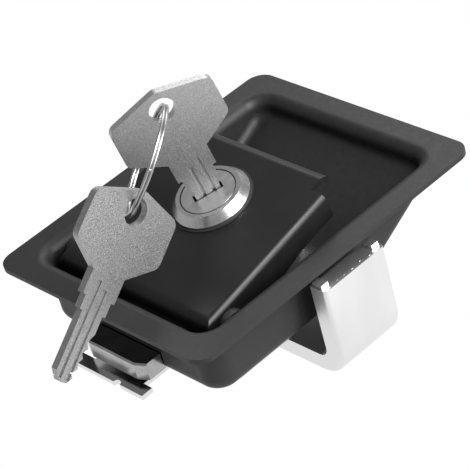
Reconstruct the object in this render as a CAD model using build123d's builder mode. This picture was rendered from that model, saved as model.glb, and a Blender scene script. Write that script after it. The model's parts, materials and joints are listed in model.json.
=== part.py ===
"""Flush paddle latch: drawn steel pan, locking paddle handle, slam bolt and clamp yoke.

Millimetres. Origin: centre of the panel cut-out, on the back face of the flange.
+Z points out of the panel, +Y towards the finger end of the handle, -Y towards the bolt.
Everything is modelled in the stored pose: handle lifted 12.3 degrees, key in the lock.
"""
from build123d import *
from math import cos, radians, sin, sqrt
import os

os.makedirs("parts", exist_ok=True)

# ---------------------------------------------------------------- driving dimensions
SHEET = 1.5               # pan, handle and bracket sheet
FLANGE_X = 88.0           # flange width
FLANGE_Y = 110.0          # flange length
FLANGE_R = 5.5
PAN_X = 72.0              # outside of the pan walls
PAN_Y = 93.0
PAN_R = 7.0
PAN_DEPTH = 21.3          # back of the flange to the underside of the pan
PAN_BOTTOM_R = 4.5        # outside radius between walls and floor
RIM_R = 3.5               # rolled edge from flange into the pan
RAMP_Y = 14.0             # where the finger ramp leaves the floor
RAMP_ANGLE = 26.5

PIN_Y = -33.8
PIN_Z = -4.5
PIN_D = 4.0
REST_OPEN = 12.3          # stored lift of the handle
SWING = 50.0              # full lift of the handle

HANDLE_H = 6.2            # top of the handle above the pin
HANDLE_W = 63.5
HANDLE_SIDE = 12.0        # depth of the folded sides
HANDLE_END = 44.2         # where the folded sides stop, from the pin
LIP_W = 53.0
LIP_R = 3.5
ROLL_R = 4.5

DRIVE_ARM = 12.75         # pin to the middle of the driver's tip
TIP_R = 2.2
BOLT_W = 26.2
BOLT_TOP = -13.9
BOLT_NOSE = -53.8
BOLT_PLATE = 3.0

LOCK_S = 29.52            # lock axis from the pin, along the handle
PLUG_R = 8.47
BARREL_R = 9.5
BARREL_END = -9.5         # underside of the barrel, handle frame
FACE_H = 3.4              # lock face above the handle
CAM_T = 2.0
CAM_REACH = 15.6

KEY_T = 2.3
KEY_HOLE_D = 7.8
KEY_HOLE_V = 18.0
KEY_LIFT = 19.24          # neck of the key above the handle
KEY_TURN = 64.4           # direction of the key's width, from +X
RING_R = 15.8
RING_WIRE = 0.95
RING_SEAT = 0.0           # ring's place off the middle of each hole

YOKE_T = 6.0
YOKE_IN = 40.8            # half the gap between the yoke's legs
YOKE_Y0 = -11.5
YOKE_Y1 = 12.5
YOKE_BAR = -29.9          # top of the yoke's bar
YOKE_TOP = -4.0

# ---------------------------------------------------------------- clearances
RUN = 0.05                # radial running clearance
GAP = 0.35                # between pieces that move past each other
SNUG = 0.1                # fixed pieces in their holes

# ---------------------------------------------------------------- derived
FLOOR = -PAN_DEPTH + SHEET
BOLT_LOW = FLOOR + GAP
MID = SWING / 2 - REST_OPEN
TAN = sin(radians(RAMP_ANGLE)) / cos(radians(RAMP_ANGLE))
COS = cos(radians(RAMP_ANGLE))

TILT_E = (0, cos(radians(REST_OPEN)), sin(radians(REST_OPEN)))
TILT_N = (0, -sin(radians(REST_OPEN)), cos(radians(REST_OPEN)))
PIN = (0, PIN_Y, PIN_Z)
HANDLE = Plane(origin=PIN, x_dir=(1, 0, 0), z_dir=TILT_N)      # x, along, above
PROFILE = Plane(origin=PIN, x_dir=TILT_E, z_dir=(1, 0, 0))     # along, above, x
SECTION = Plane(origin=(0, 0, 0), x_dir=(0, 1, 0), z_dir=(1, 0, 0))   # y, z, x
LOCK = Plane(origin=HANDLE.from_local_coords((0, LOCK_S, 0)), x_dir=(1, 0, 0), z_dir=TILT_N)

def pan_solid(half_x, half_y, corner, z_floor, z_top, bend_y, bend_r, edge_r):
    """A block with the pan's long section: floor, finger ramp and a short end wall."""
    z_ramp = z_floor + (half_y - bend_y) * TAN
    with BuildPart() as block:
        with BuildSketch(SECTION):
            Polygon(
                (-half_y, z_top),
                (-half_y, z_floor),
                (bend_y, z_floor),
                (half_y, z_ramp),
                (half_y, z_top),
                align=None,
            )
        extrude(amount=half_x, both=True)
        fillet(block.edges().filter_by(Axis.Z), radius=corner)
        across = block.edges().filter_by(Axis.X)
        fillet(across.filter_by_position(Axis.Y, bend_y - 1, bend_y + 1), radius=bend_r)
        rim = []
        for edge in block.edges():
            tangent = edge.tangent_at(0.5)
            inner_line = abs(tangent.X) > 0.99 and abs(edge.center().Y) < half_y - 3
            if edge.center().Z < -3 and abs(tangent.Z) < 0.6 and not inner_line:
                rim.append(edge)
        fillet(rim, radius=edge_r)
    return block.part


# ---------------------------------------------------------------- pan
OUT_X = PAN_X / 2
OUT_Y = PAN_Y / 2
bend_shift = SHEET * (1 / COS - 1) / TAN
pan_outside = pan_solid(OUT_X, OUT_Y, PAN_R, -PAN_DEPTH, 1, RAMP_Y + bend_shift, 9.5, PAN_BOTTOM_R)
pan_hollow = pan_solid(
    OUT_X - SHEET, OUT_Y - SHEET, PAN_R - SHEET, FLOOR, 6, RAMP_Y, 8, PAN_BOTTOM_R - SHEET
)

RIVETS = [(-12.3, -21), (12.3, -21), (-27, -33), (27, -33)]
CATCH_RIVETS = [(-5.5, 9.4), (5.5, 9.4)]
TUBE_X = 19.0

with BuildPart() as pan:
    with BuildSketch():
        RectangleRounded(FLANGE_X, FLANGE_Y, FLANGE_R)
    extrude(amount=SHEET)
    add(pan_outside)
    under = pan.edges().filter_by_position(Axis.Z, -0.01, 0.01)
    under = under.filter_by_position(Axis.X, -OUT_X - 0.1, OUT_X + 0.1)
    under = under.filter_by_position(Axis.Y, -OUT_Y - 0.1, OUT_Y + 0.1)
    fillet(under, radius=RIM_R - SHEET)
    add(pan_hollow, mode=Mode.SUBTRACT)
    mouth = pan.edges().filter_by_position(Axis.Z, SHEET - 0.01, SHEET + 0.01)
    mouth = mouth.filter_by_position(Axis.X, -OUT_X - 0.1, OUT_X + 0.1)
    mouth = mouth.filter_by_position(Axis.Y, -OUT_Y - 0.1, OUT_Y + 0.1)
    fillet(mouth, radius=RIM_R)
    # window for the bolt in the end wall
    with BuildSketch(Plane.XZ.offset(OUT_Y + 1)):
        with Locations((0, (FLOOR - 13.5) / 2)):
            Rectangle(BOLT_W + 0.8, FLOOR * -1 - 13.5)
    extrude(amount=-8, mode=Mode.SUBTRACT)
    # holes for the hinge pin
    with BuildSketch(Plane.YZ):
        with Locations((PIN_Y, PIN_Z)):
            Circle(PIN_D / 2 + SNUG)
    extrude(amount=OUT_X + 1, both=True, mode=Mode.SUBTRACT)
    # rivet holes in the floor
    with BuildSketch(Plane.XY.offset(-PAN_DEPTH - 1)):
        with Locations(*(RIVETS + CATCH_RIVETS)):
            Circle(1.5 + SNUG)
    extrude(amount=4, mode=Mode.SUBTRACT)
pan.part.label = "pan"
export_step(pan.part, "parts/pan.step")

# ---------------------------------------------------------------- hinge pin and spacers
with BuildPart() as hinge_pin:
    with BuildSketch(Plane.YZ.offset(-OUT_X)):
        with Locations((PIN_Y, PIN_Z)):
            Circle(PIN_D / 2)
    extrude(amount=PAN_X)
    chamfer(hinge_pin.edges().filter_by(GeomType.CIRCLE), length=0.4)
hinge_pin.part.label = "hinge_pin"
export_step(hinge_pin.part, "parts/hinge_pin.step")

HANDLE_X = HANDLE_W / 2
with BuildPart() as hinge_spacers:
    for side in (-1, 1):
        with BuildSketch(Plane.YZ.offset(side * (HANDLE_X + 0.3))):
            with Locations((PIN_Y, PIN_Z)):
                Circle(4.5)
                Circle(PIN_D / 2 + RUN, mode=Mode.SUBTRACT)
        extrude(amount=side * (OUT_X - SHEET - HANDLE_X - 0.3))
hinge_spacers.part.label = "hinge_spacers"
export_step(hinge_spacers.part, "parts/hinge_spacers.step")

# ---------------------------------------------------------------- handle
TOP = HANDLE_H
LOW = HANDLE_H - SHEET
ROLL_S = -7.7 + ROLL_R
LIP_S = 48.1
LIP_TURN = 72.0

with BuildPart() as paddle:
    # folded tray: top plate with both sides turned down
    with BuildSketch(HANDLE.offset(TOP)):
        with Locations((0, HANDLE_END / 2 - 3.85)):
            Rectangle(HANDLE_W, HANDLE_END + 7.7)
    extrude(amount=-HANDLE_SIDE)
    top_edges = [
        e
        for e in paddle.edges()
        if abs(HANDLE.to_local_coords(e.center()).Z - TOP) < 0.01
        and abs(HANDLE.to_local_coords(e.center()).X) > HANDLE_X - 0.1
    ]
    fillet(top_edges, radius=2.0)
    with BuildSketch(HANDLE.offset(LOW)) as tray_inside:
        with Locations((0, HANDLE_END / 2)):
            Rectangle(HANDLE_W - 2 * SHEET, HANDLE_END + 30)
    extrude(amount=-HANDLE_SIDE, mode=Mode.SUBTRACT)
    # rolled hinge end
    with BuildSketch(PROFILE):
        with Locations((-7.7 + 2.25, TOP - 2.25)):
            Rectangle(5.5, 5.5)
        with Locations((ROLL_S, TOP - ROLL_R)):
            Circle(ROLL_R, mode=Mode.SUBTRACT)
        with Locations((ROLL_S + 5, TOP - 5)):
            Rectangle(10, 14, mode=Mode.SUBTRACT)
        with Locations((ROLL_S - 5, TOP - ROLL_R - 5)):
            Rectangle(12, 10, mode=Mode.SUBTRACT)
    extrude(amount=HANDLE_X + 1, both=True, mode=Mode.SUBTRACT)
    with BuildSketch(PROFILE):
        with BuildLine():
            Line((ROLL_S, TOP), (ROLL_S, LOW))
            RadiusArc((ROLL_S, LOW), (ROLL_S - ROLL_R + SHEET, TOP - ROLL_R), -(ROLL_R - SHEET))
            Line((ROLL_S - ROLL_R + SHEET, TOP - ROLL_R), (ROLL_S - ROLL_R + SHEET, 0.4))
            Line((ROLL_S - ROLL_R + SHEET, 0.4), (ROLL_S - ROLL_R, 0.4))
            Line((ROLL_S - ROLL_R, 0.4), (ROLL_S - ROLL_R, TOP - ROLL_R))
            RadiusArc((ROLL_S - ROLL_R, TOP - ROLL_R), (ROLL_S, TOP), ROLL_R)
        make_face()
    extrude(amount=HANDLE_X - 2.0, both=True)
    # finger lip: a narrower tongue turned down at its end
    with BuildSketch(PROFILE):
        with BuildLine():
            lip_o = (LIP_S + LIP_R * sin(radians(LIP_TURN)), TOP - LIP_R * (1 - cos(radians(LIP_TURN))))
            lip_k = LIP_R - SHEET
            lip_i = (LIP_S + lip_k * sin(radians(LIP_TURN)), LOW - lip_k * (1 - cos(radians(LIP_TURN))))
            Line((HANDLE_END - 4, TOP), (LIP_S, TOP))
            RadiusArc((LIP_S, TOP), lip_o, LIP_R)
            Line(lip_o, lip_i)
            RadiusArc(lip_i, (LIP_S, LOW), -lip_k)
            Line((LIP_S, LOW), (HANDLE_END - 4, LOW))
            Line((HANDLE_END - 4, LOW), (HANDLE_END - 4, TOP))
        make_face()
    extrude(amount=LIP_W / 2, both=True)
    # sides slope up towards the finger end
    with BuildSketch(PROFILE):
        Polygon(
            (-12, -5.2),
            (-6, -5.2),
            (8, -5.2),
            (30, -2.0),
            (HANDLE_END + 2, -2.0),
            (HANDLE_END + 2, -9),
            (-12, -9),
            align=None,
        )
    extrude(amount=HANDLE_X + 1, both=True, mode=Mode.SUBTRACT)
    # pin holes and lock hole
    with BuildSketch(PROFILE):
        Circle(PIN_D / 2 + RUN)
    extrude(amount=HANDLE_X + 1, both=True, mode=Mode.SUBTRACT)
    with BuildSketch(LOCK.offset(LOW - 1)):
        Circle(BARREL_R + SNUG)
    extrude(amount=SHEET + 2, mode=Mode.SUBTRACT)
paddle.part.label = "paddle"
export_step(paddle.part, "parts/paddle.step")

# ---------------------------------------------------------------- driver under the handle
LEAN = radians(MID)                    # lean of the driver's arms in the handle frame
ARM_X = 8.5
ARM_T = 1.8
TIP = (DRIVE_ARM * -sin(LEAN + radians(REST_OPEN)), DRIVE_ARM * -cos(LEAN + radians(REST_OPEN)))

with BuildPart() as bolt_driver:
    with BuildSketch(HANDLE.offset(LOW)):
        with Locations((0, 2.6)):
            Rectangle(2 * (ARM_X + ARM_T), 11)
    extrude(amount=-SHEET)
    for side in (-1, 1):
        with BuildSketch(PROFILE.offset(side * (ARM_X + ARM_T / 2))):
            with BuildLine():
                Polyline(
                    (-2.9, LOW - SHEET),
                    (-4.2, -1.0),
                    (TIP[0] - 1.62, TIP[1] + 1.5),
                    (TIP[0] + 1.5, TIP[1] - 0.6),
                    (3.6, -2.4),
                    (5.5, LOW - SHEET),
                    close=True,
                )
            make_face()
            with Locations(TIP):
                Circle(TIP_R)
            Circle(PIN_D / 2 + RUN, mode=Mode.SUBTRACT)
        extrude(amount=ARM_T / 2, both=True)
bolt_driver.part.label = "bolt_driver"
export_step(bolt_driver.part, "parts/bolt_driver.step")

# ---------------------------------------------------------------- slam bolt
TIP_Y = PIN_Y - DRIVE_ARM * sin(LEAN)
EAR_Y = -38.0
SPRING_Z = FLOOR + 4.5
BOLT_X = BOLT_W / 2

with BuildPart() as slam_bolt:
    with BuildSketch(Plane.XY.offset(BOLT_LOW)):
        Polygon(
            (-BOLT_X, -42.5),
            (-BOLT_X, BOLT_NOSE + 1.6),
            (-BOLT_X + 3.5, BOLT_NOSE),
            (BOLT_X - 3.5, BOLT_NOSE),
            (BOLT_X, BOLT_NOSE + 1.6),
            (BOLT_X, -42.5),
            align=None,
        )
    extrude(amount=BOLT_TOP - BOLT_LOW)
    with BuildSketch(Plane.XY.offset(BOLT_LOW)):
        with Locations((0, -37.65)):
            Rectangle(BOLT_W, 9.9)
        with Locations((0, -25)):
            Rectangle(16, 16)
        with Locations((0, EAR_Y + 1.25)):
            Rectangle(45, 2.5)
    extrude(amount=BOLT_PLATE)
    for side in (-1, 1):
        with BuildSketch(Plane.XZ.offset(-EAR_Y)):
            with Locations((side * TUBE_X, (BOLT_LOW + SPRING_Z + 3.4) / 2)):
                Rectangle(7, SPRING_Z + 3.4 - BOLT_LOW)
        extrude(amount=-2.5)
    with BuildSketch(Plane.XY.offset(BOLT_LOW - 1)):
        with Locations((-ARM_X - ARM_T / 2, TIP_Y), (ARM_X + ARM_T / 2, TIP_Y)):
            Rectangle(ARM_T + 2 * GAP, 2 * TIP_R + 2 * 0.3)
    extrude(amount=6, mode=Mode.SUBTRACT)
    # bevelled nose, and a groove behind it
    nose_top = slam_bolt.edges().filter_by_position(Axis.Z, BOLT_TOP - 0.01, BOLT_TOP + 0.01)
    chamfer(nose_top.filter_by_position(Axis.Y, -60, BOLT_NOSE + 1.7), length=0.5)
slam_bolt.part.label = "slam_bolt"
export_step(slam_bolt.part, "parts/slam_bolt.step")

# ---------------------------------------------------------------- return springs and their tubes
TUBE_MOUTH = -24.0
TUBE_END = -10.5
SPRING_FRONT = EAR_Y + 2.5
SPRING_END = -20.5

with BuildPart() as spring_tubes:
    for side in (-1, 1):
        axis = Plane(origin=(side * TUBE_X, TUBE_MOUTH, SPRING_Z), x_dir=(1, 0, 0), z_dir=(0, 1, 0))
        with BuildSketch(axis):
            Circle(4.25)
            with Locations((0, 3.5)):
                Rectangle(7, 2)
        extrude(amount=TUBE_END - TUBE_MOUTH)
        with BuildSketch(axis):
            Circle(3.5)
        extrude(amount=TUBE_END - TUBE_MOUTH - 1, mode=Mode.SUBTRACT)
spring_tubes.part.label = "spring_tubes"
export_step(spring_tubes.part, "parts/spring_tubes.step")

with BuildPart() as bolt_springs:
    for side in (-1, 1):
        start = (side * TUBE_X, SPRING_FRONT + 0.45, SPRING_Z)
        with BuildLine():
            coil = Helix(
                pitch=2.35,
                height=SPRING_END - SPRING_FRONT - 0.9,
                radius=2.6,
                center=start,
                direction=(0, 1, 0),
            )
        with BuildSketch(Plane(origin=coil @ 0, z_dir=coil % 0)):
            RegularPolygon(0.45, 6)
        sweep(path=coil, is_frenet=True)
bolt_springs.part.label = "bolt_springs"
export_step(bolt_springs.part, "parts/bolt_springs.step")

# ---------------------------------------------------------------- bolt guide
GUIDE_TOP = BOLT_LOW + BOLT_PLATE + GAP
with BuildPart() as bolt_guide:
    with BuildSketch(Plane.XZ.offset(24)):
        Polygon(
            (-14.5, FLOOR),
            (-8.35, FLOOR),
            (-8.35, GUIDE_TOP),
            (8.35, GUIDE_TOP),
            (8.35, FLOOR),
            (14.5, FLOOR),
            (14.5, FLOOR + SHEET),
            (8.35 + SHEET, FLOOR + SHEET),
            (8.35 + SHEET, GUIDE_TOP + SHEET),
            (-8.35 - SHEET, GUIDE_TOP + SHEET),
            (-8.35 - SHEET, FLOOR + SHEET),
            (-14.5, FLOOR + SHEET),
            align=None,
        )
    extrude(amount=-6)
    guide_top = bolt_guide.edges().filter_by(Axis.Y).group_by(Axis.Z)[-1]
    fillet(guide_top, radius=1.4)
    with BuildSketch(Plane.XY.offset(FLOOR - 1)):
        with Locations(*RIVETS[:2]):
            Circle(1.5 + SNUG)
    extrude(amount=4, mode=Mode.SUBTRACT)
bolt_guide.part.label = "bolt_guide"
export_step(bolt_guide.part, "parts/bolt_guide.step")

# ---------------------------------------------------------------- support bracket under the floor
BRACKET = -PAN_DEPTH
with BuildPart() as support_bracket:
    with BuildSketch(Plane.XY.offset(BRACKET - SHEET)):
        with Locations((0, -25.5)):
            RectangleRounded(64, 25, 3)
        with Locations((0, -46)):
            Rectangle(21, 21)
        with Locations((-1.5, -55)):
            Rectangle(31, 4)
        with Locations((3.2, -57)):
            Circle(1.3, mode=Mode.SUBTRACT)
        with Locations(*RIVETS):
            Circle(1.5 + SNUG, mode=Mode.SUBTRACT)
    extrude(amount=SHEET)
support_bracket.part.label = "support_bracket"
export_step(support_bracket.part, "parts/support_bracket.step")

with BuildPart() as bracket_rivets:
    for number, spot in enumerate(RIVETS):
        seat = FLOOR + SHEET if number < 2 else FLOOR
        with BuildSketch(Plane.XY.offset(BRACKET - SHEET - 1.1)):
            with Locations(spot):
                Circle(1.5)
        extrude(amount=seat + 1.1 - BRACKET + SHEET + 1.1)
        with BuildSketch(Plane.XY.offset(seat)):
            with Locations(spot):
                Circle(2.3)
        extrude(amount=1.1)
        with BuildSketch(Plane.XY.offset(BRACKET - SHEET)):
            with Locations(spot):
                Circle(2.3)
        extrude(amount=-1.1)
    heads = bracket_rivets.edges().filter_by(GeomType.CIRCLE)
    heads = [e for e in heads if e.radius > 2 and (e.center().Z > seat + 1 or e.center().Z < BRACKET - 2)]
    chamfer(heads, length=0.5)
bracket_rivets.part.label = "bracket_rivets"
export_step(bracket_rivets.part, "parts/bracket_rivets.step")

# ---------------------------------------------------------------- catch for the lock's cam
with BuildPart() as lock_catch:
    with BuildSketch(SECTION):
        Polygon(
            (5.5, FLOOR),
            (13.9, FLOOR),
            (13.9, -11.9),
            (7.6, -11.9),
            (7.6, -13.4),
            (12.4, -13.4),
            (12.4, FLOOR + SHEET),
            (5.5, FLOOR + SHEET),
            align=None,
        )
    extrude(amount=8, both=True)
    fillet(lock_catch.edges().filter_by(Axis.X).filter_by_position(Axis.Z, -12, -11.8), radius=0.7)
    add(pan_hollow, mode=Mode.INTERSECT)
    with BuildSketch(Plane.XY.offset(FLOOR - 1)):
        with Locations(*CATCH_RIVETS):
            Circle(1.5 + SNUG)
    extrude(amount=4, mode=Mode.SUBTRACT)
lock_catch.part.label = "lock_catch"
export_step(lock_catch.part, "parts/lock_catch.step")

with BuildPart() as catch_rivets:
    for spot in CATCH_RIVETS:
        with BuildSketch(Plane.XY.offset(-PAN_DEPTH - 1.1)):
            with Locations(spot):
                Circle(1.5)
        extrude(amount=2 * SHEET + 2.2)
        with BuildSketch(Plane.XY.offset(FLOOR + SHEET)):
            with Locations(spot):
                Circle(2.6)
        extrude(amount=1.1)
        with BuildSketch(Plane.XY.offset(-PAN_DEPTH)):
            with Locations(spot):
                Circle(2.6)
        extrude(amount=-1.1)
catch_rivets.part.label = "catch_rivets"
export_step(catch_rivets.part, "parts/catch_rivets.step")

# ---------------------------------------------------------------- clamp yoke with its stud and nuts
YOKE_OUT = YOKE_IN + YOKE_T
YOKE_MID = (YOKE_Y0 + YOKE_Y1) / 2
STUD_D = 6.0
STUD_END = -46.0

with BuildPart() as clamp_yoke:
    with BuildSketch(Plane.XZ.offset(-YOKE_Y0)):
        with Locations((0, (YOKE_TOP + YOKE_BAR - YOKE_T) / 2)):
            Rectangle(2 * YOKE_OUT, YOKE_TOP - YOKE_BAR + YOKE_T)
        with Locations((0, YOKE_BAR + 20)):
            Rectangle(2 * YOKE_IN, 40, mode=Mode.SUBTRACT)
    extrude(amount=YOKE_Y0 - YOKE_Y1)
    bends = clamp_yoke.edges().filter_by(Axis.Y)
    fillet(bends.group_by(Axis.Z)[0], radius=9.5)
    inner = clamp_yoke.edges().filter_by(Axis.Y).filter_by_position(Axis.Z, YOKE_BAR - 0.1, YOKE_BAR + 0.1)
    fillet(inner.filter_by_position(Axis.X, -YOKE_IN - 0.1, YOKE_IN + 0.1), radius=3.5)
    # bite points on the corners of both legs
    with BuildSketch(Plane.XY.offset(YOKE_TOP - 0.5)):
        for side in (-1, 1):
            with Locations((side * (YOKE_IN + 2.4), YOKE_Y0 + 1.8), (side * (YOKE_IN + 2.4), YOKE_Y1 - 1.8)):
                Rectangle(3.6, 2.6)
    extrude(amount=1.7)
    outer_rims = []
    for edge in clamp_yoke.edges():
        spot = edge.center()
        on_side = abs(spot.Y - YOKE_Y0) < 0.01 or abs(spot.Y - YOKE_Y1) < 0.01
        outside = abs(spot.X) > YOKE_OUT - 4 or spot.Z < YOKE_BAR - YOKE_T + 0.1
        if on_side and outside and spot.Z < YOKE_TOP - 1:
            outer_rims.append(edge)
    fillet(outer_rims, radius=1.3)
    with BuildSketch(Plane.XY.offset(YOKE_BAR + 1)):
        with Locations((0, YOKE_MID)):
            Circle(STUD_D / 2 + 0.3)
    extrude(amount=-YOKE_T - 2, mode=Mode.SUBTRACT)
clamp_yoke.part.label = "clamp_yoke"
export_step(clamp_yoke.part, "parts/clamp_yoke.step")

with BuildPart() as yoke_stud:
    with BuildSketch(Plane.XY.offset(-PAN_DEPTH)):
        with Locations((0, YOKE_MID)):
            Circle(6.5)
    extrude(amount=-1.2)
    with BuildSketch(Plane.XY.offset(-PAN_DEPTH)):
        with Locations((0, YOKE_MID)):
            Circle(STUD_D / 2)
    extrude(amount=STUD_END + PAN_DEPTH)
    chamfer(yoke_stud.edges().group_by(Axis.Z)[0], length=0.7)
yoke_stud.part.label = "yoke_stud"
export_step(yoke_stud.part, "parts/yoke_stud.step")

WASHER_T = 1.6
YOKE_LOW = YOKE_BAR - YOKE_T
NUT_H = 5.0
with BuildPart() as yoke_washers:
    for base in (YOKE_BAR, YOKE_LOW - WASHER_T):
        with BuildSketch(Plane.XY.offset(base)):
            with Locations((0, YOKE_MID)):
                Circle(6.2)
                Circle(STUD_D / 2 + 0.2, mode=Mode.SUBTRACT)
        extrude(amount=WASHER_T)
yoke_washers.part.label = "yoke_washers"
export_step(yoke_washers.part, "parts/yoke_washers.step")

with BuildPart() as yoke_nuts:
    for base in (YOKE_BAR + WASHER_T, YOKE_LOW - WASHER_T - NUT_H):
        with BuildSketch(Plane.XY.offset(base)):
            with Locations((0, YOKE_MID)):
                RegularPolygon(5.0, 6, major_radius=False)
        extrude(amount=NUT_H)
        with BuildSketch(Plane(origin=(0, YOKE_MID, base), x_dir=(1, 0, 0), z_dir=(0, 0, 1))):
            Circle(STUD_D / 2 + 0.02)
        extrude(amount=NUT_H, mode=Mode.SUBTRACT)
yoke_nuts.part.label = "yoke_nuts"
export_step(yoke_nuts.part, "parts/yoke_nuts.step")

# ---------------------------------------------------------------- cylinder lock
FACE = TOP + FACE_H
with BuildPart() as lock_body:
    with BuildSketch(LOCK.offset(BARREL_END)):
        Circle(BARREL_R)
    extrude(amount=TOP + 0.4 - BARREL_END)
    with BuildSketch(LOCK.offset(TOP + 0.3)):
        Circle(11.85)
    extrude(amount=0.7)
    with BuildSketch(LOCK.offset(TOP + 1.0)):
        Circle(11.85)
    with BuildSketch(LOCK.offset(FACE)):
        Circle(9.9)
    loft()
    with BuildSketch(LOCK.offset(BARREL_END - 1)):
        Circle(PLUG_R + RUN)
    extrude(amount=FACE - BARREL_END + 2, mode=Mode.SUBTRACT)
lock_body.part.label = "lock_body"
export_step(lock_body.part, "parts/lock_body.step")

with BuildPart() as lock_gasket:
    with BuildSketch(LOCK.offset(TOP)):
        Circle(12.6)
        Circle(BARREL_R + SNUG, mode=Mode.SUBTRACT)
    extrude(amount=0.3)
lock_gasket.part.label = "lock_gasket"
export_step(lock_gasket.part, "parts/lock_gasket.step")

with BuildPart() as lock_nut:
    with BuildSketch(LOCK.offset(LOW)):
        RegularPolygon(12.0, 6, major_radius=False)
        Circle(BARREL_R + 0.02, mode=Mode.SUBTRACT)
    extrude(amount=-3.2)
lock_nut.part.label = "lock_nut"
export_step(lock_nut.part, "parts/lock_nut.step")

KEYWAY = Plane(
    origin=LOCK.origin,
    x_dir=(
        cos(radians(KEY_TURN)),
        sin(radians(KEY_TURN)) * TILT_E[1],
        sin(radians(KEY_TURN)) * TILT_E[2],
    ),
    z_dir=TILT_N,
)
KEYWAY_DEEP = 16.4
POST = 6.6
with BuildPart() as lock_plug:
    with BuildSketch(LOCK.offset(BARREL_END - 0.05)):
        Circle(PLUG_R)
    extrude(amount=FACE - BARREL_END)
    rim = [e for e in lock_plug.edges() if LOCK.to_local_coords(e.center()).Z > FACE - 1]
    chamfer([e for e in rim if e.geom_type == GeomType.CIRCLE], length=0.25)
    with BuildSketch(LOCK.offset(BARREL_END - 0.1 - CAM_T)):
        Rectangle(POST, POST)
    extrude(amount=CAM_T + 0.1)
    with BuildSketch(KEYWAY.offset(FACE + 1)):
        Rectangle(9.2, KEY_T + 0.6)
    extrude(amount=-KEYWAY_DEEP - 1, mode=Mode.SUBTRACT)
lock_plug.part.label = "lock_plug"
export_step(lock_plug.part, "parts/lock_plug.step")

with BuildPart() as lock_cam:
    with BuildSketch(LOCK.offset(BARREL_END - 0.1 - CAM_T)):
        with Locations((CAM_REACH / 2, 0)):
            Rectangle(CAM_REACH, 9)
        Circle(6.0)
        Rectangle(POST + 0.1, POST + 0.1, mode=Mode.SUBTRACT)
    extrude(amount=CAM_T)
lock_cam.part.label = "lock_cam"
export_step(lock_cam.part, "parts/lock_cam.step")

with BuildPart() as cam_screw:
    with BuildSketch(LOCK.offset(BARREL_END - 0.1 - CAM_T)):
        Circle(4.6)
    extrude(amount=-0.6)
    with BuildSketch(LOCK.offset(BARREL_END - 0.7 - CAM_T)):
        Circle(3.4)
    extrude(amount=-1.5)
    with BuildSketch(LOCK.offset(BARREL_END - 2.2 - CAM_T)):
        Rectangle(0.9, 8)
        Rectangle(4.5, 0.9)
    extrude(amount=0.9, mode=Mode.SUBTRACT)
cam_screw.part.label = "cam_screw"
export_step(cam_screw.part, "parts/cam_screw.step")


# ---------------------------------------------------------------- keys
def key_solid(frame):
    """Hexagonal bow, stepped blade and milled ribs, in a frame of width, height, thickness."""
    with BuildPart() as blank:
        with BuildSketch(frame.offset(-KEY_T / 2)):
            Polygon(
                (-6.1, 0),
                (-16.1, 6.3),
                (-15.9, 19.85),
                (0, 24.3),
                (15.9, 19.85),
                (16.1, 6.3),
                (6.1, 0),
                align=None,
            )
        extrude(amount=KEY_T)
        corners = []
        for edge in blank.edges().filter_by(Axis(frame.origin, frame.z_dir)):
            if frame.to_local_coords(edge.center()).Y > 1:
                corners.append(edge)
        fillet(corners, radius=3.0)
        with BuildSketch(frame.offset(-KEY_T / 2)):
            Polygon(
                (-6.1, 0.8),
                (-6.1, -7.2),
                (-4.9, -7.2),
                (-4.9, -11.3),
                (-3.9, -11.3),
                (-3.9, -28.6),
                (-1.4, -31.25),
                (1.2, -31.25),
                (2.6, -29.4),
                (1.5, -28.2),
                (3.1, -26.6),
                (2.2, -25.2),
                (3.3, -23.6),
                (2.3, -22.2),
                (3.7, -20.6),
                (2.6, -19.0),
                (3.2, -17.6),
                (3.9, -16.4),
                (3.9, -11.3),
                (4.9, -11.3),
                (4.9, -7.2),
                (6.1, -7.2),
                (6.1, 0.8),
                align=None,
            )
        extrude(amount=KEY_T)
        with BuildSketch(frame.offset(-KEY_T / 2 - 1)):
            with Locations((0, KEY_HOLE_V)):
                Circle(KEY_HOLE_D / 2)
        extrude(amount=KEY_T + 2, mode=Mode.SUBTRACT)
        for side in (-1, 1):
            with BuildSketch(frame.offset(side * (KEY_T / 2 - 0.55))):
                with Locations((-1.9, -16.4)):
                    Rectangle(1.1, 28)
                with Locations((1.2, -17.5)):
                    Rectangle(1.1, 26)
            extrude(amount=side * 2, mode=Mode.SUBTRACT)
    return blank.part


NECK_1 = LOCK.from_local_coords((0, 0, TOP + KEY_LIFT))
WIDTH_1 = KEYWAY.x_dir
KEY_1 = Plane(origin=NECK_1, x_dir=WIDTH_1 * -1, z_dir=(WIDTH_1 * -1).cross(LOCK.z_dir))
lock_key = key_solid(KEY_1)
lock_key.label = "lock_key"
export_step(lock_key, "parts/lock_key.step")

NECK_2 = (11.85, -54.08, 19.28)
KEY_2 = Plane(origin=NECK_2, x_dir=(0.033, 0.630, -0.776), z_dir=(0.999, -0.013, 0.032))
spare_key = key_solid(KEY_2)
spare_key.label = "spare_key"
export_step(spare_key, "parts/spare_key.step")

# ---------------------------------------------------------------- split ring
RING_A = KEY_1.from_local_coords((0, KEY_HOLE_V, 0))
RING_B = KEY_2.from_local_coords((0, KEY_HOLE_V, 0))
chord = (RING_B - RING_A) * (1 - 2 * RING_SEAT / (RING_B - RING_A).length)
half_chord = chord.length / 2
RING_AXIS = Vector(-0.620, -0.565, 0.544)
RING_AXIS = (RING_AXIS - chord * (RING_AXIS.dot(chord) / chord.dot(chord))).normalized()
toward = chord.cross(RING_AXIS).normalized()
offset = sqrt(max(RING_R * RING_R - half_chord * half_chord, 0))
RING_CENTRE = (RING_A + RING_B) * 0.5 + toward * offset
with BuildPart() as key_ring:
    for side in (-1, 1):
        turn = Plane(origin=RING_CENTRE + RING_AXIS * (side * RING_WIRE * 0.47), z_dir=RING_AXIS)
        with Locations(turn):
            Torus(RING_R, RING_WIRE / 2)
key_ring.part.label = "key_ring"
export_step(key_ring.part, "parts/key_ring.step")
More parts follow.
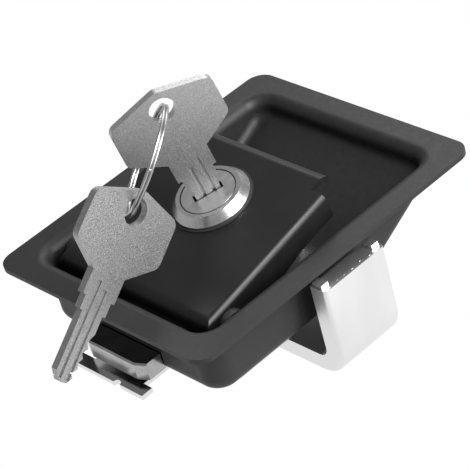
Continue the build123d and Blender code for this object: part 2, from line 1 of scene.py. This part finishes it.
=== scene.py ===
"""Flush paddle latch with keys, dressed for a white studio picture, laid out as an add-on."""

import json
from math import cos, radians, sin

import bpy
from mathutils import Matrix, Vector

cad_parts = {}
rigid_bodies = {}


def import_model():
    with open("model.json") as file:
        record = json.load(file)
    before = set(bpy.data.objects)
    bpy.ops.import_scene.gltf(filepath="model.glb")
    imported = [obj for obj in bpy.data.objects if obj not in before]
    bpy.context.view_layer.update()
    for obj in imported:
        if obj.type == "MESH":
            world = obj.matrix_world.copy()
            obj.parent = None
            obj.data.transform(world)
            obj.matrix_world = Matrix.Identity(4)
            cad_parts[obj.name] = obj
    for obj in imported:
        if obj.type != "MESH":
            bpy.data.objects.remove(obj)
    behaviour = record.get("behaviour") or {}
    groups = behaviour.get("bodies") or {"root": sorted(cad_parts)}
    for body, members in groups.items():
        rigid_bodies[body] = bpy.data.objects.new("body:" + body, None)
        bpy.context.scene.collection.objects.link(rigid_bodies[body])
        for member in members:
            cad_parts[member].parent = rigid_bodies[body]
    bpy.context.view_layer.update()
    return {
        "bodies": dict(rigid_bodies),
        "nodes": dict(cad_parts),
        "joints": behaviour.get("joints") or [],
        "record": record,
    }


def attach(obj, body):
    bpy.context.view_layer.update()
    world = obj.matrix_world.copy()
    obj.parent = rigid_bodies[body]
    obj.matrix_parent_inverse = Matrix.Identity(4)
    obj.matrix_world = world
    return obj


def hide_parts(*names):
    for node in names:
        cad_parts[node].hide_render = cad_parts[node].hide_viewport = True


bl_info = {
    "name": "Paddle latch",
    "version": (1, 0, 0),
    "blender": (4, 5, 0),
    "location": "View3D > Sidebar > Latch",
    "description": "Finishes, small trim and studio of a flush paddle latch",
    "category": "Add Mesh",
}

MM = 0.001

# the handle at rest, tilted about its hinge pin, and the lock's middle on it
TILT = radians(12.3)
PIN = Vector((0, -33.8, -4.5)) * MM
ALONG = Vector((0, cos(TILT), sin(TILT)))
ABOVE = Vector((0, -sin(TILT), cos(TILT)))
LOCK = PIN + ALONG * 29.52 * MM
# a ring of painted shade stands in the thin gap between the plug and the lock body: its height
# above LOCK and its radius
PLUG_GAP_SHADE_HEIGHT = 9.57  # mm above LOCK
PLUG_GAP_SHADE_RADIUS = 8.5  # mm

# the ring runs through both keys' holes, mm, and its axis is squared to the line between them
HOLE_A = Vector((0, -14.2117, 44.2315))
HOLE_B = Vector((11.6686, -40.1025, 30.62))
RING_AXIS = (-0.620, -0.565, 0.544)
END_ALONG, END_AWAY = 0.527, 0.85  # place of the wire's end, in ring radii

# burrs on each leg of the yoke, mm
BURRS = 15
BURR_START = -10.6
BURR_PITCH = 1.58
LEG_X = 45.6
LEG_TOP = -4.25

# the room's brightness, below and above the horizon, and between which heights it changes
ROOM = (0.95, 0.33)
HORIZON = (-0.45, 0.25)

# name, place, size and share of the main light's power; each aims at the origin
LAMPS = (
    ("side light", (0.5, 0.15, 0.25), (0.5, 0.5), 1.0),
    ("back light", (-0.25, 0.55, 0.5), (0.6, 0.3), 0.45),
    ("edge light", (0.45, 0.14, 0.53), (0.10, 0.34), 0.8),
)

CAMERA_PLACE = Vector((426.82, -303.07, 355.37)) * MM
# the camera's right, down and forward directions
CAMERA_ROWS = Matrix(
    (
        (0.6818, 0.6963, -0.2242),
        (0.2914, -0.5397, -0.7898),
        (-0.671, 0.4732, -0.5709),
    )
)
LENS = 169.2  # mm
SENSOR = 36  # mm
PICTURE = 470  # pixels a side

NOISE_RANGE = (0.3, 0.7)  # the noise values that a finish's variation spans
BUMP_DEPTH = 0.0002  # m

FRAME = {}


# ------------------------------------------------------------------ settings
class FinishSettings(bpy.types.PropertyGroup):
    paint: bpy.props.FloatProperty(name="Pan paint", default=0.013, min=0, max=1)
    handle_paint: bpy.props.FloatProperty(name="Handle paint", default=0.005, min=0, max=1)
    grain: bpy.props.FloatProperty(name="Paint grain", default=0.10, min=0, max=1)
    zinc: bpy.props.FloatProperty(name="Zinc tone", default=0.80, min=0, max=1)
    key: bpy.props.FloatProperty(name="Key tone", default=0.55, min=0, max=1)


class RingSettings(bpy.types.PropertyGroup):
    radius: bpy.props.FloatProperty(name="Ring radius, mm", default=15.8)
    wire: bpy.props.FloatProperty(name="Wire, mm", default=0.95)


class TrimSettings(bpy.types.PropertyGroup):
    # width of the ring of painted shade in the gap round the plug
    gap: bpy.props.FloatProperty(name="Painted gap shade round the plug, mm", default=0.13)
    burr: bpy.props.FloatProperty(name="Burrs on the yoke, mm", default=0.55)


class StudioSettings(bpy.types.PropertyGroup):
    fill: bpy.props.FloatProperty(name="Room light", default=1.0)
    key: bpy.props.FloatProperty(name="Main light, W", default=5.0)
    samples: bpy.props.IntProperty(name="Samples", default=256)


# ------------------------------------------------------------------ helpers
def clean():
    """Deselects everything, so that the next operator works on its own object."""
    for o in list(bpy.context.selected_objects):
        o.select_set(False)


def finish_piece(name, finish, body):
    """Names the active object, puts its place into its mesh, and lets it ride on a body."""
    o = bpy.context.active_object
    bpy.ops.object.transform_apply(location=True, rotation=True, scale=True)
    bpy.ops.object.shade_smooth()
    o.name = name
    o.data.name = name
    o.data.materials.clear()
    o.data.materials.append(finish)
    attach(o, body)
    return o


def facing(direction):
    """Turn that takes +Z to a direction."""
    return Vector((0, 0, 1)).rotation_difference(Vector(direction)).to_euler()


def join(made, target):
    """Joins objects into one of them, which stays active."""
    for o in made:
        o.select_set(True)
    bpy.context.view_layer.objects.active = target
    bpy.ops.object.join()


def noise(nodes, scale, detail):
    node = nodes.new("ShaderNodeTexNoise")
    node.inputs["Scale"].default_value = scale
    node.inputs["Detail"].default_value = detail
    return node


def map_range(nodes, source, target):
    """Node that takes one range of values to another."""
    node = nodes.new("ShaderNodeMapRange")
    for name, value in zip(("From Min", "From Max", "To Min", "To Max"), (*source, *target)):
        node.inputs[name].default_value = value
    return node


def material(
    name,
    tone,
    metal,
    rough,
    bump=0.0,
    scale=900.0,
    mottle=0.0,
    mottle_scale=300.0,
    stretch=(1, 1, 1),
    rough_var=0.0,
    spec=0.5,
):
    """Procedural finish: tone with mottling, roughness with variation, and a fine bump."""
    m = bpy.data.materials.new(name)
    m.use_nodes = True
    nodes, links = m.node_tree.nodes, m.node_tree.links
    shader = nodes["Principled BSDF"]
    shader.inputs["Metallic"].default_value = metal
    shader.inputs["Specular IOR Level"].default_value = spec
    place = nodes.new("ShaderNodeTexCoord")
    spread = nodes.new("ShaderNodeMapping")
    spread.inputs["Scale"].default_value = stretch
    links.new(place.outputs["Object"], spread.inputs["Vector"])
    fine = noise(nodes, scale, 3)
    links.new(spread.outputs["Vector"], fine.inputs["Vector"])
    patch = noise(nodes, mottle_scale, 5)
    links.new(spread.outputs["Vector"], patch.inputs["Vector"])
    tones = (tone * (1 - mottle), min(1, tone * (1 + mottle)))
    colour = map_range(nodes, NOISE_RANGE, tones)
    links.new(patch.outputs["Fac"], colour.inputs["Value"])
    grey = nodes.new("ShaderNodeCombineColor")
    for channel in ("Red", "Green", "Blue"):
        links.new(colour.outputs["Result"], grey.inputs[channel])
    links.new(grey.outputs["Color"], shader.inputs["Base Color"])
    roughness = (max(0.02, rough - rough_var), min(1, rough + rough_var))
    dull = map_range(nodes, NOISE_RANGE, roughness)
    links.new(patch.outputs["Fac"], dull.inputs["Value"])
    links.new(dull.outputs["Result"], shader.inputs["Roughness"])
    relief = nodes.new("ShaderNodeBump")
    relief.inputs["Strength"].default_value = bump
    relief.inputs["Distance"].default_value = BUMP_DEPTH
    links.new(fine.outputs["Fac"], relief.inputs["Height"])
    links.new(relief.outputs["Normal"], shader.inputs["Normal"])
    return m


def paint(nodes, finish):
    """Gives one finish to CAD pieces."""
    for name in nodes:
        o = FRAME["nodes"][name]
        o.data.materials.clear()
        o.data.materials.append(finish)


# ------------------------------------------------------------------ pieces
class LATCH_OT_black_paint(bpy.types.Operator):
    """Fine-texture black coat on the pan, smoother black on the handle"""

    bl_idname = "latch.black_paint"
    bl_label = "Black paint"

    def execute(self, context):
        s = context.scene.latch_finish
        coat = material(
            "powder coat", s.paint, metal=0, rough=0.50, bump=s.grain * 2.2, scale=2200,
            mottle=0.12, mottle_scale=500, rough_var=0.05, spec=0.42,
        )
        satin = material(
            "satin black", s.handle_paint, metal=0, rough=0.40, bump=s.grain * 0.35,
            scale=1800, mottle=0.12, mottle_scale=150, rough_var=0.03, spec=0.38,
        )
        paint(["pan"], coat)
        paint(["paddle"], satin)
        return {"FINISHED"}


class LATCH_OT_zinc(bpy.types.Operator):
    """Zinc on the yoke, bolt and brackets, plain steel pins and springs, nylon spacers"""

    bl_idname = "latch.zinc"
    bl_label = "Zinc plate"

    def execute(self, context):
        s = context.scene.latch_finish
        soft = material(
            "zinc rolled", s.zinc, metal=1, rough=0.40, bump=0.10, scale=700, mottle=0.03,
            mottle_scale=60, stretch=(1, 1, 0.35), rough_var=0.05,
        )
        bright = material(
            "zinc bright", s.zinc * 0.95, metal=1, rough=0.22, bump=0.05, scale=900,
            mottle=0.05, mottle_scale=120, rough_var=0.06,
        )
        steel = material(
            "plain steel", 0.55, metal=1, rough=0.35, bump=0.05, scale=900, mottle=0.06,
            mottle_scale=200,
        )
        paint(["clamp_yoke"], soft)
        paint(["slam_bolt"], material(
            "zinc bolt", 0.42, metal=1, rough=0.20, bump=0.08, scale=600, mottle=0.15,
            mottle_scale=200, rough_var=0.06,
        ))
        paint(["support_bracket", "spring_tubes", "bolt_guide", "bolt_driver"], bright)
        paint(["yoke_stud", "yoke_nuts", "yoke_washers"], bright)
        paint(["lock_catch", "lock_nut", "lock_cam"], bright)
        paint(["hinge_pin", "bracket_rivets", "catch_rivets", "cam_screw", "bolt_springs"], steel)
        paint(["hinge_spacers"], material(
            "black nylon", 0.012, metal=0, rough=0.45, bump=0.02, scale=600, mottle=0.05,
            mottle_scale=200,
        ))
        return {"FINISHED"}


class LATCH_OT_lock(bpy.types.Operator):
    """Brushed lock face and bevelled rim, with a ring of painted shade in the gap round the plug"""

    bl_idname = "latch.lock"
    bl_label = "Lock"

    def execute(self, context):
        trim = context.scene.latch_trim
        face = material(
            "brushed face", 0.62, metal=1, rough=0.33, bump=0.06, scale=1500, mottle=0.06,
            mottle_scale=700, stretch=(1, 0.25, 1), rough_var=0.05,
        )
        rim = material(
            "brushed rim", 0.62, metal=1, rough=0.26, bump=0.04, scale=1500, mottle=0.05,
            mottle_scale=400, rough_var=0.04,
        )
        # near-black painted shade, standing in for the shadow in the thin gap between plug and body
        gap_shade = material("plug gap shade", 0.006, metal=0, rough=0.7)
        paint(["lock_plug"], face)
        paint(["lock_body"], rim)
        paint(["lock_gasket"], material(
            "gasket rubber", 0.012, metal=0, rough=0.6, bump=0.05, scale=900,
        ))
        # a thin near-black ring in the gap round the plug: painted shade, not a part of the lock
        clean()
        bpy.ops.mesh.primitive_torus_add(
            location=LOCK + ABOVE * PLUG_GAP_SHADE_HEIGHT * MM,
            rotation=facing(ABOVE),
            major_radius=PLUG_GAP_SHADE_RADIUS * MM,
            minor_radius=trim.gap * MM,
            major_segments=128,
            minor_segments=8,
        )
        finish_piece("plug_gap_shade", gap_shade, "handle")
        return {"FINISHED"}


class LATCH_OT_keys(bpy.types.Operator):
    """Tumbled nickel finish on both keys"""

    bl_idname = "latch.keys"
    bl_label = "Keys"

    def execute(self, context):
        tone = context.scene.latch_finish.key
        paint(["spare_key"], material(
            "key nickel", tone * 0.68, metal=1, rough=0.42, bump=0.55, scale=3200,
            mottle=0.38, mottle_scale=3400, rough_var=0.12,
        ))
        paint(["lock_key"], material(
            "key nickel dull", tone * 0.95, metal=1, rough=0.42, bump=0.30, scale=3200,
            mottle=0.22, mottle_scale=2600, rough_var=0.08,
        ))
        return {"FINISHED"}


class LATCH_OT_ring(bpy.types.Operator):
    """Split ring: two turns of wire side by side, with a bump where one end lies over the other"""

    bl_idname = "latch.ring"
    bl_label = "Key ring"

    def execute(self, context):
        ring = context.scene.latch_ring
        wire = material(
            "ring wire", 0.50, metal=1, rough=0.30, bump=0.03, scale=900, mottle=0.06,
            mottle_scale=300,
        )
        chord = (HOLE_B - HOLE_A) * MM
        axis = Vector(RING_AXIS)
        axis = (axis - chord * (axis.dot(chord) / chord.dot(chord))).normalized()
        half = chord.length / 2
        radius = ring.radius * MM
        toward = chord.cross(axis).normalized()
        centre = (HOLE_A + HOLE_B) * MM / 2 + toward * max(radius * radius - half * half, 0) ** 0.5
        made = []
        for side in (-1, 1):
            clean()
            bpy.ops.mesh.primitive_torus_add(
                location=centre + axis * side * ring.wire * 0.47 * MM,
                rotation=facing(axis),
                major_radius=radius,
                minor_radius=ring.wire * 0.48 * MM,
                major_segments=160,
                minor_segments=12,
            )
            made.append(bpy.context.active_object)
        # where one end of the wire lies over the other turn
        clean()
        end = centre + (chord.normalized() * END_ALONG - toward * END_AWAY) * radius
        bpy.ops.mesh.primitive_uv_sphere_add(
            segments=16,
            ring_count=8,
            radius=ring.wire * 0.5 * MM,
            location=end,
            rotation=facing(axis),
            scale=(0.9, 0.9, 1.6),
        )
        made.append(bpy.context.active_object)
        join(made, made[-1])
        o = finish_piece("split_ring", wire, "ring")
        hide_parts("key_ring")
        return {"FINISHED"}


class LATCH_OT_burrs(bpy.types.Operator):
    """Sheared burrs along the tops of the yoke's legs"""

    bl_idname = "latch.burrs"
    bl_label = "Yoke burrs"

    def execute(self, context):
        size = context.scene.latch_trim.burr
        burr = material(
            "sheared zinc", 0.5, metal=1, rough=0.4, bump=0.4, scale=900, mottle=0.2,
            mottle_scale=900,
        )
        clean()
        made = []
        for side in (-1, 1):
            for step in range(BURRS):
                x = side * (LEG_X + 0.5 * sin(step * 1.7 + side))
                y = BURR_START + step * BURR_PITCH + 0.3 * sin(step * 2.4)
                z = LEG_TOP + 0.15 * sin(step * 3.1)
                bpy.ops.mesh.primitive_ico_sphere_add(
                    subdivisions=2,
                    radius=size * MM,
                    location=(x * MM, y * MM, z * MM),
                    scale=(0.9, 1.25, 0.62),
                )
                made.append(bpy.context.active_object)
        join(made, made[0])
        finish_piece("yoke_burrs", burr, "housing")
        return {"FINISHED"}


# ------------------------------------------------------------------ stage
def lamp(name, spot, size, power):
    """Area lamp aimed at the origin."""
    clean()
    bpy.ops.object.light_add(type="AREA", location=spot)
    o = bpy.context.active_object
    o.name = name
    o.data.shape = "RECTANGLE"
    o.data.size, o.data.size_y = size
    o.data.energy = power
    o.rotation_euler = (-Vector(spot)).to_track_quat("-Z", "Y").to_euler()


class LATCH_OT_stage(bpy.types.Operator):
    """White room, soft lights and the camera"""

    bl_idname = "latch.stage"
    bl_label = "Studio"

    def execute(self, context):
        s = context.scene.latch_studio
        scene = context.scene
        world = bpy.data.worlds.new("white room")
        scene.world = world
        world.use_nodes = True
        nodes, links = world.node_tree.nodes, world.node_tree.links
        out = nodes["World Output"]
        room = nodes["Background"]
        room.inputs["Strength"].default_value = s.fill
        place = nodes.new("ShaderNodeTexCoord")
        axes = nodes.new("ShaderNodeSeparateXYZ")
        links.new(place.outputs["Generated"], axes.inputs["Vector"])
        ramp = map_range(nodes, HORIZON, ROOM)
        links.new(axes.outputs["Z"], ramp.inputs["Value"])
        links.new(ramp.outputs["Result"], room.inputs["Color"])
        white = nodes.new("ShaderNodeBackground")
        white.inputs["Strength"].default_value = 1
        rays = nodes.new("ShaderNodeLightPath")
        mix = nodes.new("ShaderNodeMixShader")
        links.new(rays.outputs["Is Camera Ray"], mix.inputs["Fac"])
        links.new(room.outputs["Background"], mix.inputs[1])
        links.new(white.outputs["Background"], mix.inputs[2])
        links.new(mix.outputs["Shader"], out.inputs["Surface"])
        white.inputs["Color"].default_value = (1, 1, 1, 1)

        for name, spot, size, share in LAMPS:
            lamp(name, spot, size, s.key * share)

        clean()
        bpy.ops.object.camera_add(location=CAMERA_PLACE)
        camera = bpy.context.active_object
        # Blender's camera looks along -Z with +Y up
        camera.rotation_euler = (CAMERA_ROWS.transposed() @ Matrix.Diagonal((1, -1, -1))).to_euler()
        camera.data.sensor_width = SENSOR
        camera.data.lens = LENS
        camera.data.clip_start = 0.01
        scene.camera = camera
        scene.render.engine = "CYCLES"
        scene.cycles.samples = s.samples
        scene.render.resolution_x = PICTURE
        scene.render.resolution_y = PICTURE
        scene.render.resolution_percentage = 100
        scene.view_settings.view_transform = "Standard"
        return {"FINISHED"}


class LATCH_PT_panel(bpy.types.Panel):
    """Settings, and a button for each finish, each piece of trim and the studio"""

    bl_idname = "LATCH_PT_panel"
    bl_label = "Paddle latch"
    bl_space_type = "VIEW_3D"
    bl_region_type = "UI"
    bl_category = "Latch"

    def draw(self, context):
        for group in GROUPS:
            box = self.layout.box()
            values = getattr(context.scene, group)
            for name in values.__annotations__:
                box.prop(values, name)
        for piece in PIECES:
            self.layout.operator(piece.bl_idname)


PIECES = (
    LATCH_OT_black_paint,
    LATCH_OT_zinc,
    LATCH_OT_lock,
    LATCH_OT_keys,
    LATCH_OT_ring,
    LATCH_OT_burrs,
    LATCH_OT_stage,
)
GROUPS = {
    "latch_finish": FinishSettings,
    "latch_ring": RingSettings,
    "latch_trim": TrimSettings,
    "latch_studio": StudioSettings,
}
CLASSES = (*GROUPS.values(), *PIECES, LATCH_PT_panel)


def register():
    for c in CLASSES:
        bpy.utils.register_class(c)
    for name, group in GROUPS.items():
        setattr(bpy.types.Scene, name, bpy.props.PointerProperty(type=group))


def unregister():
    for name in GROUPS:
        delattr(bpy.types.Scene, name)
    for c in reversed(CLASSES):
        bpy.utils.unregister_class(c)


def main():
    register()
    FRAME.update(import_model())
    bpy.ops.latch.black_paint()
    bpy.ops.latch.zinc()
    bpy.ops.latch.lock()
    bpy.ops.latch.keys()
    bpy.ops.latch.ring()
    bpy.ops.latch.burrs()
    bpy.ops.latch.stage()


if __name__ == "__main__":
    main()
